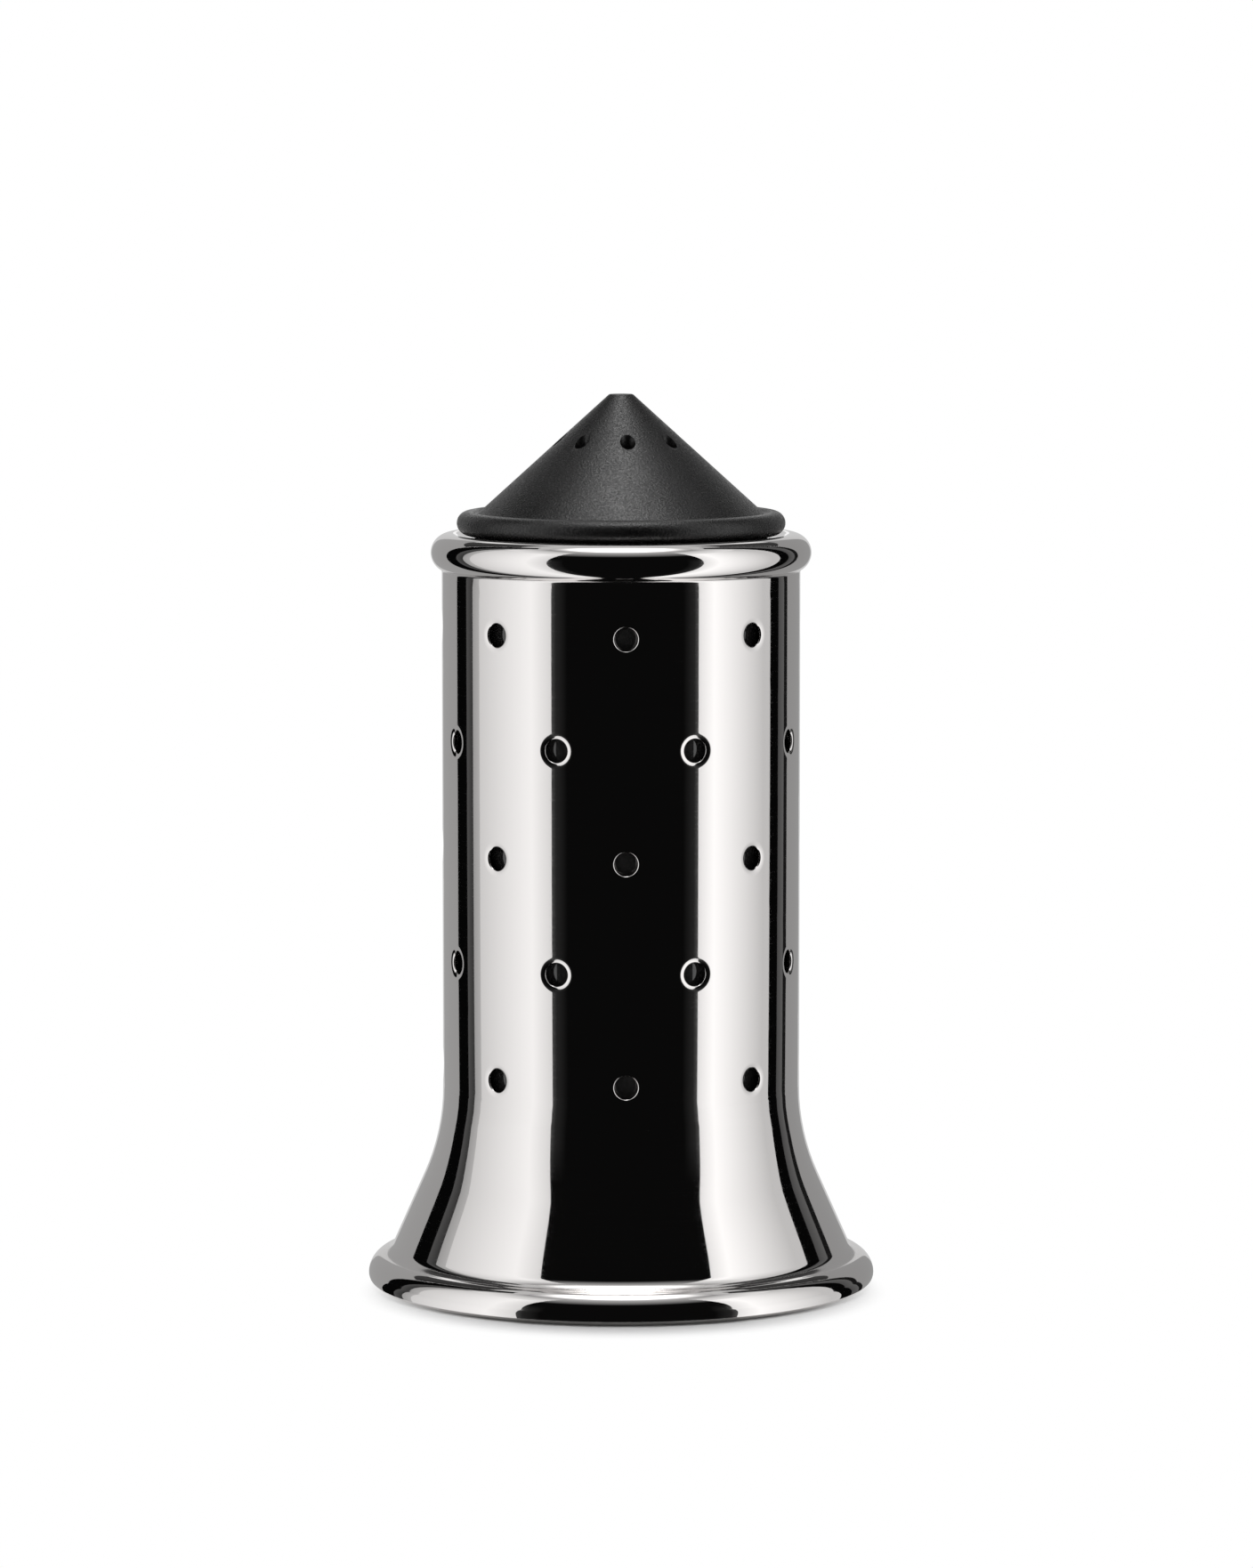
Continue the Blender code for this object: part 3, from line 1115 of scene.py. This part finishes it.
@dataclass
class DispenserCap:
    """Conical cap with pour holes, a rolled rim and a threaded spigot."""

    seat: float = 77.6 * MM
    height: float = 14.4 * MM
    wall: float = 1.6 * MM
    rim_radius: float = 16.86 * MM
    rim_section: float = 1.2 * MM
    valley_blend: float = 0.35 * MM
    valley_angle: float = 135.0
    tip_radius: float = 1.2 * MM
    tip_round: float = 0.35 * MM
    spigot_radius: float = 13.6 * MM
    spigot_bore: float = 12.1 * MM
    spigot_length: float = 9.0 * MM
    edge_round: float = 0.3 * MM
    pour_holes: int = 8
    pour_hole_radius: float = 0.78 * MM
    pour_circle_radius: float = 6.3 * MM
    pour_hole_turn: float = 4.7
    hole_sides: int = 32
    hole_edge: float = 0.04 * MM
    hole_edge_steps: int = 2
    hole_edge_angle: float = 50.0
    cone_steps: int = 24
    thread: ScrewThread = field(default_factory=ScrewThread)
    thread_rise: float = 1.4 * MM

    def build(self) -> Piece:
        """Models the cap with its holes and thread.

        Returns:
            The cap, shaded smooth.
        """
        cap = self.turned_body()
        cap.name = "grained_cap"
        combine(cap, self.pour_pins(), Cut.REMOVE)
        apply_modifier(
            cap,
            "BEVEL",
            width=self.hole_edge,
            segments=self.hole_edge_steps,
            limit_method="ANGLE",
            angle_limit=math.radians(self.hole_edge_angle),
        )
        start = self.seat - self.spigot_length + self.thread_rise
        combine(cap, self.thread.ridge(self.spigot_radius, Side.OUTSIDE, start), Cut.ADD)
        smooth(cap)
        return cap

    def dress(self, cap: Piece) -> None:
        """Gives the cap its grained plastic.

        Args:
            cap: The cap.
        """
        cap.data.materials.clear()
        cap.data.materials.append(CAP_PLASTIC.material())
        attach(cap, Body.CAP.value)
        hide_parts("dispenser_cap")

    def turned_body(self) -> Piece:
        """Turns the cone, the rim, the spigot and the hollow inside.

        Returns:
            The cap without holes and thread.
        """
        top = self.seat + self.height
        foot = self.seat - self.spigot_length
        rim = (self.rim_radius - self.rim_section, self.seat + self.rim_section)
        valley = Vector(on_circle(rim, self.rim_section, self.valley_angle))
        tip = Vector((self.tip_radius, top))
        slope = (valley - tip).normalized()
        hollow = Hollow.between(tuple(valley), tuple(-slope), rim, self.rim_section, self.valley_blend)
        inner = tip + Vector((slope.y, -slope.x)) * self.wall
        inner_top = top - self.wall
        top_radius = inner.x + slope.x * (inner_top - inner.y) / slope.y
        bore_top = inner.y + slope.y * (self.spigot_bore - inner.x) / slope.x
        lathe = Lathe("cap_body", (0, top))
        lathe.round_corner(tuple(tip), tuple(valley), self.tip_round)
        lathe.line(hollow.on_wall, self.cone_steps)
        lathe.arc(hollow.centre, hollow.sweep())
        lathe.arc(rim, -90 - angle_of(rim, hollow.on_bead))
        spigot = [(self.spigot_radius, self.seat), (self.spigot_radius, foot), (self.spigot_bore, foot)]
        lathe.round_corners(spigot, (self.spigot_bore, bore_top), self.edge_round)
        lathe.line((self.spigot_bore, bore_top))
        lathe.line((top_radius, inner_top), self.cone_steps)
        lathe.line((0, inner_top))
        return lathe.turn()

    def pour_pins(self) -> Piece:
        """Sets up the ring of pins that core the pour holes.

        Returns:
            The pins as one object.
        """
        pins = []
        step = FULL_TURN / self.pour_holes
        for hole in range(self.pour_holes):
            turn = math.radians(self.pour_hole_turn) - math.pi / 2 + step * hole
            bpy.ops.object.select_all(action="DESELECT")
            bpy.ops.mesh.primitive_cylinder_add(
                vertices=self.hole_sides,
                radius=self.pour_hole_radius,
                depth=self.height,
                location=(0, 0, 0),
            )
            pin = bpy.context.object
            across = Vector((math.cos(turn), math.sin(turn), 0)) * self.pour_circle_radius
            pin.data.transform(Matrix.Translation(across + Vector((0, 0, self.seat + self.height / 2))))
            pins.append(pin)
        return joined("pour_pins", pins)


@dataclass
class SaltPot:
    """Gloss black pot inside the sleeve, threaded in its mouth."""

    seat: float = 2.8 * MM
    top: float = 76.3 * MM
    radius: float = 17.2 * MM
    bore: float = 14.5 * MM
    floor: float = 2.0 * MM
    edge_round: float = 0.5 * MM
    thread: ScrewThread = field(default_factory=ScrewThread)
    thread_start: float = 71.5 * MM

    def build(self) -> Piece:
        """Models the pot.

        Returns:
            The pot, shaded smooth.
        """
        inside = self.seat + self.floor
        lathe = Lathe("glossy_pot", (0, self.seat))
        wall = [(self.radius, self.seat), (self.radius, self.top), (self.bore, self.top)]
        lathe.round_corners(wall, (self.bore, inside), self.edge_round)
        lathe.round_corner((self.bore, inside), (0, inside), self.floor)
        lathe.line((0, inside))
        pot = lathe.turn()
        combine(pot, self.thread.ridge(self.bore, Side.INSIDE, self.thread_start), Cut.ADD)
        smooth(pot)
        return pot

    def dress(self, pot: Piece) -> None:
        """Gives the pot its gloss plastic.

        Args:
            pot: The pot.
        """
        pot.data.materials.clear()
        pot.data.materials.append(POT_PLASTIC.material())
        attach(pot, Body.SHAKER.value)
        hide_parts("salt_container")


@dataclass
class BasePlate:
    """Satin plate that closes the base above the foot ring."""

    seat: float = 1.0 * MM
    thickness: float = 1.0 * MM
    radius: float = 23.2 * MM
    dish_radius: float = 20.6 * MM
    dish: float = 0.5 * MM
    edge_round: float = 0.25 * MM
    collar_bore: float = 17.4 * MM
    collar_wall: float = 1.2 * MM
    collar_height: float = 2.2 * MM
    gate_radius: float = 1.6 * MM
    gate_depth: float = 0.25 * MM
    gate_round: float = gate_depth / 3

    def build(self) -> Piece:
        """Models the plate with its dished underside and the collar round the pot.

        Returns:
            The plate, shaded smooth.
        """
        ceiling = self.seat + self.dish
        upper = self.seat + self.thickness
        inner = ceiling + self.thickness
        collar_top = inner + self.collar_height
        collar = self.collar_bore + self.collar_wall
        gate_top = ceiling + self.gate_depth
        gate = [(self.gate_radius, gate_top), (self.gate_radius, ceiling)]
        corners = [
            (self.dish_radius - self.dish, ceiling),
            (self.dish_radius, self.seat),
            (self.radius, self.seat),
            (self.radius, upper),
            (collar, upper),
            (collar, collar_top),
            (self.collar_bore, collar_top),
            (self.collar_bore, inner),
        ]
        lathe = Lathe("satin_base_plate", (0, gate_top))
        lathe.round_corners(gate, corners[0], self.gate_round)
        lathe.round_corners(corners, (0, inner), self.edge_round)
        lathe.line((0, inner))
        plate = lathe.turn()
        smooth(plate)
        return plate

    def dress(self, plate: Piece) -> None:
        """Gives the plate its satin plastic.

        Args:
            plate: The plate.
        """
        plate.data.materials.append(PLATE_PLASTIC.material())
        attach(plate, Body.SHAKER.value)
        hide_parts("base_plate")


@dataclass
class CapSeal:
    """Soft ring round the cap's spigot, inside the steel lip."""

    inner: float = 13.9 * MM
    outer: float = 14.7 * MM
    bottom: float = 76.6 * MM
    top: float = 77.3 * MM
    edge_round: float = 0.15 * MM

    def build(self) -> Piece:
        """Models the ring with rounded edges.

        Returns:
            The ring, shaded smooth.
        """
        corners = [
            (self.outer, self.bottom),
            (self.outer, self.top),
            (self.inner, self.top),
            (self.inner, self.bottom),
        ]
        start = ((self.inner + self.outer) / 2, self.bottom)
        lathe = Lathe("soft_seal_ring", start)
        lathe.round_corners(corners, start, self.edge_round)
        lathe.line(start)
        ring = lathe.turn()
        smooth(ring)
        return ring

    def dress(self, ring: Piece) -> None:
        """Gives the ring its rubber.

        Args:
            ring: The ring.
        """
        ring.data.materials.append(SEAL_RUBBER.material())
        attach(ring, Body.SEAL.value)
        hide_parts("cap_seal")


@dataclass(frozen=True)
class StudioCard:
    """Card round and over the table that only mirrored rays see.

    Attributes:
        name: Name of the card.
        start: Where the card starts, in degrees from the camera's side, positive to the camera's right.
        end: Where the card ends.
        start_glow: Brightness at the start.
        end_glow: Brightness at the end, or None for that of the start.
        low: Elevation of its lower edge in degrees, or zero for a card that also lies on the floor.
        high: Elevation of its upper edge in degrees.
        roof_from: Where its part under the roof starts, as a distance from the middle.
        roof_to: How near to the middle its part under the roof comes, or None for a card without one.
        upper_glow: Brightness at the elevation glow_to, or None for an even one.
        glow_from: Elevation in degrees where the brightness starts to change.
        glow_to: Elevation in degrees where the brightness has changed.
        glow_power: Power by which the brightness changes in between.
    """

    name: str
    start: float
    end: float
    start_glow: float
    end_glow: Optional[float] = None
    low: float = 0.0
    high: float = 40.0
    roof_from: float = 2.0
    roof_to: Optional[float] = None
    upper_glow: Optional[float] = None
    glow_from: float = 0.0
    glow_to: float = 90.0
    glow_power: float = 2.0

    def glow_at(self, place: Vector, first: float, sweep: float) -> float:
        """Finds the brightness of a place on the card.

        Args:
            place: The place, before the card is set off.
            first: Angle of the card's start about the Z axis.
            sweep: Angle that the card takes.

        Returns:
            The brightness.
        """
        turn = nearest(math.atan2(place.y, place.x) - first, FULL_TURN)
        glow = self.start_glow
        if self.end_glow is not None:
            glow += (self.end_glow - self.start_glow) * turn / sweep
        if self.upper_glow is None:
            return glow
        elevation = math.degrees(math.atan2(place.z, place.xy.length))
        upward = (elevation - self.glow_from) / (self.glow_to - self.glow_from)
        upward = min(max(upward, 0.0), 1.0)
        return glow + (self.upper_glow - glow) * upward ** self.glow_power


@dataclass(frozen=True)
class FrontHaze(StudioCard):
    """Soft edge of the dark front, which gets as dark as the front higher up."""

    high: float = FRONT_TOP
    upper_glow: Optional[float] = FRONT_GLOW
    glow_from: float = 8.0
    glow_to: float = FRONT_TOP
    glow_power: float = 1.0


@dataclass(frozen=True)
class SidePanel(StudioCard):
    """Pale panel at one side of the table."""

    roof_to: Optional[float] = PANEL_REACH


@dataclass(frozen=True)
class SideRoof(StudioCard):
    """Roof between a panel and the zenith."""

    low: float = 40.0
    roof_from: float = PANEL_REACH
    roof_to: Optional[float] = ROOF_REACH
    upper_glow: Optional[float] = 0.3
    glow_from: float = 50.0
    glow_to: float = 68.0


@dataclass(frozen=True)
class DarkStrip(StudioCard):
    """Dark strip behind a panel."""

    high: float = STRIP_TOP
    roof_to: Optional[float] = 0.8


@dataclass(frozen=True)
class BackArch(StudioCard):
    """Dark arch over the grey at the back."""

    low: float = BACK_TOP
    high: float = STRIP_TOP
    roof_to: Optional[float] = 1.05


@dataclass(frozen=True)
class SoftLamp:
    """Soft lamp that lights the object, and that no mirrored ray sees.

    Attributes:
        name: Name of the lamp.
        place: Middle of the lamp.
        target: Point that the lamp faces.
        size: Width and height of the lamp.
        glow: Brightness of its face.
    """

    name: str
    place: Place
    target: Place
    size: Point
    glow: float

    def hang(self) -> None:
        """Hangs the lamp at its place."""
        width, height = self.size
        data = bpy.data.lights.new(self.name, "AREA")
        data.shape = "RECTANGLE"
        data.size = width
        data.size_y = height
        data.energy = self.glow * math.pi * width * height
        lamp = bpy.data.objects.new(self.name, data)
        lamp.location = self.place
        lamp.rotation_euler = (Vector(self.target) - Vector(self.place)).to_track_quat("-Z", "Y").to_euler()
        lamp.visible_camera = False
        lamp.visible_glossy = False
        bpy.context.scene.collection.objects.link(lamp)


@dataclass
class Studio:
    """Pale floor, soft lamps, cards and the photograph's camera."""

    focal_pixels: float = 7343.0
    picture_height: float = 1762.0
    sensor: float = 36.0
    camera_pitch: float = 5.862
    camera_height: float = 120.6 * MM
    camera_distance: float = 669.6 * MM
    camera_aside: float = 0.554 * MM
    camera_turn: float = -1.61
    card_radius: float = 2.0
    card_foot: float = 25.95 * MM
    card_lift: float = 0.1 * MM
    card_steps: int = 24
    mirror_radius: float = 24.5 * MM
    floor_size: float = 8.0
    floor_colour: Colour = (0.86, 0.86, 0.86)
    # Painted shade on the floor: a circle set ahead of the base, inside which the white glow fades out.
    shade_ahead: float = 5.5 * MM
    shade_start: float = 20.7 * MM
    shade_end: float = 27.5 * MM
    fill: float = 0.2
    lamps: tuple[SoftLamp, ...] = (
        SoftLamp("overhead_lamp", (0, -0.045, 1.0), (0, -0.045, 0), (0.9, 0.63), 2.8),
        SoftLamp("left_lamp", (-1.1, -0.35, 0.6), (0, 0, 0.05), (0.9, 1.0), 0.15),
        SoftLamp("right_lamp", (1.1, -0.35, 0.6), (0, 0, 0.05), (0.9, 1.0), 0.15),
    )
    cards: tuple[StudioCard, ...] = (
        StudioCard("front_flag", -35.0, 40.5, FRONT_GLOW, high=FRONT_TOP),
        FrontHaze("left_haze", -45.5, -42.5, 0.07, 0.021),
        FrontHaze("left_haze_far", -42.5, -35.0, 0.021, FRONT_GLOW),
        FrontHaze("right_haze", 48.0, 51.0, 0.021, 0.085),
        FrontHaze("right_haze_far", 40.5, 48.0, FRONT_GLOW, 0.021),
        StudioCard(
            "front_roof",
            -45.5,
            51.0,
            FRONT_GLOW,
            low=25.0,
            roof_to=ROOF_REACH,
            upper_glow=0.6,
            glow_from=43.0,
            glow_to=75.0,
            glow_power=1.0,
        ),
        StudioCard(
            "zenith",
            -180.0,
            180.0,
            0.5,
            low=39.0,
            high=39.0,
            roof_from=0.65,
            roof_to=0.0,
            upper_glow=12.0,
            glow_from=68.0,
        ),
        SidePanel("left_panel_near", -60.0, -45.5, 1.14, 0.85),
        SidePanel("left_panel_far", -104.0, -60.0, 0.75, 1.14),
        SideRoof("left_roof", -104.0, -45.5, 0.9),
        SidePanel("left_panel_edge", -111.0, -104.0, 0.40, 0.52),
        DarkStrip("left_strip_grey", -118.5, -111.0, 0.09, 0.04),
        DarkStrip("left_strip_black", -131.5, -118.5, 0.002),
        StudioCard("left_back", -167.0, -131.5, 0.37, high=BACK_TOP),
        BackArch("left_arch", -160.0, -131.5, 0.06, 0.03),
        SidePanel("right_panel_near", 51.0, 62.0, 0.97, 1.28),
        SidePanel("right_panel_far", 62.0, 104.0, 1.28, 0.65),
        SideRoof("right_roof", 51.0, 104.0, 0.9),
        SidePanel("right_panel_edge", 104.0, 112.0, 0.65),
        DarkStrip("right_strip_black", 112.0, 122.0, 0.002),
        DarkStrip("right_strip_grey", 122.0, 130.0, 0.08, 0.13),
        DarkStrip("right_strip_edge", 130.0, 135.0, 0.01),
        StudioCard("right_back", 135.0, 167.0, 0.325, high=BACK_TOP),
        BackArch("right_arch", 135.0, 160.0, 0.03, 0.06),
        StudioCard("right_far", 167.0, 179.9, 0.62, high=34.0),
        StudioCard("left_far", -179.9, -167.0, 0.62, high=34.0),
        StudioCard("back_middle", 172.0, 188.0, 0.75, low=34.0, roof_to=PANEL_REACH),
        StudioCard("back_roof", 104.0, 256.0, 0.6, low=40.5, high=40.5, roof_to=ROOF_REACH),
    )

    def build(self) -> None:
        """Sets up floor, world, lamps, cards and camera."""
        self.floor()
        self.world()
        paint = self.card_paint()
        for card in self.cards:
            self.stand(card, paint)
        for lamp in self.lamps:
            lamp.hang()
        self.camera()

    def seen(self, graph: Graph) -> Socket:
        """Finds the rays that show the background itself: from the camera, off polish and through glass.

        Args:
            graph: Node tree to fill.

        Returns:
            Socket that is one for these rays.
        """
        rays = graph.add("LightPath", {}).outputs
        mirrored = graph.math("MAXIMUM", rays["Is Glossy Ray"], rays["Is Transmission Ray"])
        return graph.math("MAXIMUM", rays["Is Camera Ray"], mirrored)

    def floor(self) -> None:
        """Lays the pale floor, which keeps the object's shadow, and has painted shade round the base where
        its white glow fades out.
        """
        bpy.ops.object.select_all(action="DESELECT")
        bpy.ops.mesh.primitive_plane_add(size=self.floor_size, location=(0, 0, 0))
        floor = bpy.context.object
        floor.name = "floor"
        material, graph = empty_material("pale_floor")
        paint = graph.add("BsdfDiffuse", {"Color": (*self.floor_colour, 1)})
        glow = graph.add("Emission", {"Strength": 1.0})
        # Partly real shadow and partly painted shade. Towards a point set ahead of the base, the white glow
        # fades out, so the floor there shows its darker lit colour together with the object's real shadow.
        away = graph.distance(graph.place(), (0, -self.shade_ahead, 0))
        white = graph.ramp(away, self.shade_start, self.shade_end, 0.0, 1.0)
        share = graph.math("MULTIPLY", self.seen(graph), white)
        mixed = graph.add("MixShader", {0: share, 1: paint.outputs[0], 2: glow.outputs[0]})
        graph.add("OutputMaterial", {"Surface": mixed.outputs[0]})
        floor.data.materials.append(material)

    def world(self) -> None:
        """Fills the room with soft light, and white where the background itself shows."""
        world = bpy.data.worlds.new("white_room")
        bpy.context.scene.world = world
        world.use_nodes = True
        graph = Graph(world.node_tree)
        strength = graph.add("MapRange", {"Value": self.seen(graph), "To Min": self.fill, "To Max": 1.0})
        white = graph.add("Background", {"Color": (1, 1, 1, 1), "Strength": strength.outputs[0]})
        graph.add("OutputWorld", {"Surface": white.outputs[0]})

    def stand(self, card: StudioCard, paint: Material) -> None:
        """Stands a card up and keeps it out of every ray but the mirrored ones.

        Args:
            card: The card.
            paint: Glowing paint of the cards.
        """
        foot = self.card_radius * math.tan(math.radians(card.low)) + self.card_lift
        head = self.card_radius * math.tan(math.radians(card.high))
        lathe = Lathe(card.name, (card.roof_from if card.low else self.card_foot, foot))
        if not card.low:
            lathe.line((self.card_radius, foot))
        if card.high > card.low:
            lathe.line((self.card_radius, head), self.card_steps)
        if card.roof_to is not None:
            lathe.line((card.roof_to, head), self.card_steps)
        bpy.ops.object.mode_set(mode="OBJECT")
        piece = lathe.piece
        first = math.radians(card.start + self.camera_turn) - math.pi / 2
        piece.data.transform(Matrix.Rotation(first, 4, "Z"))
        bpy.ops.object.mode_set(mode="EDIT")
        bpy.ops.mesh.select_all(action="SELECT")
        sweep = math.radians(card.end - card.start)
        bpy.ops.mesh.spin(steps=self.card_steps, angle=-sweep, center=(0, 0, 0), axis=(0, 0, 1))
        bpy.ops.object.mode_set(mode="OBJECT")
        glow = piece.data.attributes.new(CARD_GLOW, "FLOAT", "POINT")
        for vertex, value in zip(piece.data.vertices, glow.data):
            value.value = card.glow_at(vertex.co, first, sweep)
        if not card.low:
            self.set_off(piece)
        piece.data.materials.append(paint)
        piece.visible_camera = False
        piece.visible_diffuse = False
        piece.visible_shadow = False

    def set_off(self, piece: Piece) -> None:
        """Moves a card's edges aside, so that each runs out from the place on the wall that mirrors it.

        Args:
            piece: The card, with its edges running out from the axis.
        """
        ahead = math.radians(self.camera_turn) - math.pi / 2
        for vertex in piece.data.vertices:
            distance = vertex.co.xy.length
            side = nearest(math.atan2(vertex.co.y, vertex.co.x) - ahead, FULL_TURN)
            out = Vector((math.cos(ahead + side), math.sin(ahead + side)))
            mirror = Vector((math.cos(ahead + side / 2), math.sin(ahead + side / 2))) * self.mirror_radius
            aside = self.mirror_radius * math.sin(side / 2)
            reach = math.sqrt(self.card_foot ** 2 - aside ** 2) - self.mirror_radius * math.cos(side / 2)
            vertex.co.xy = mirror + out * (reach + distance - self.card_foot)

    def card_paint(self) -> Material:
        """Mixes the paint whose glow each card holds at its own corners.

        Returns:
            The paint.
        """
        material, graph = empty_material("card_paint")
        strength = graph.add("Attribute", {}, attribute_name=CARD_GLOW).outputs["Fac"]
        glow = graph.add("Emission", {"Strength": strength})
        graph.add("OutputMaterial", {"Surface": glow.outputs[0]})
        return material

    def camera(self) -> None:
        """Sets the camera where the photograph was taken from."""
        turn = math.radians(self.camera_turn)
        back = Vector((math.sin(turn), -math.cos(turn), 0)) * self.camera_distance
        aside = Vector((math.cos(turn), math.sin(turn), 0)) * self.camera_aside
        data = bpy.data.cameras.new("photo_camera")
        data.sensor_width = self.sensor
        data.lens = self.focal_pixels / self.picture_height * self.sensor
        camera = bpy.data.objects.new("photo_camera", data)
        camera.location = back + aside + Vector((0, 0, self.camera_height))
        camera.rotation_euler = (math.radians(90 - self.camera_pitch), 0, turn)
        bpy.context.scene.collection.objects.link(camera)
        bpy.context.scene.camera = camera


def main() -> None:
    """Builds and dresses every piece, then the studio round it."""
    logging.basicConfig(level=logging.INFO, format="%(name)s: %(message)s")
    bpy.context.scene.view_settings.view_transform = "Standard"
    for assembly in (SteelSleeve(), SaltPot(), BasePlate(), CapSeal(), DispenserCap()):
        piece = assembly.build()
        assembly.dress(piece)
        log.info("%s: %d faces", piece.name, len(piece.data.polygons))
    Studio().build()


if __name__ == "__main__":
    main()
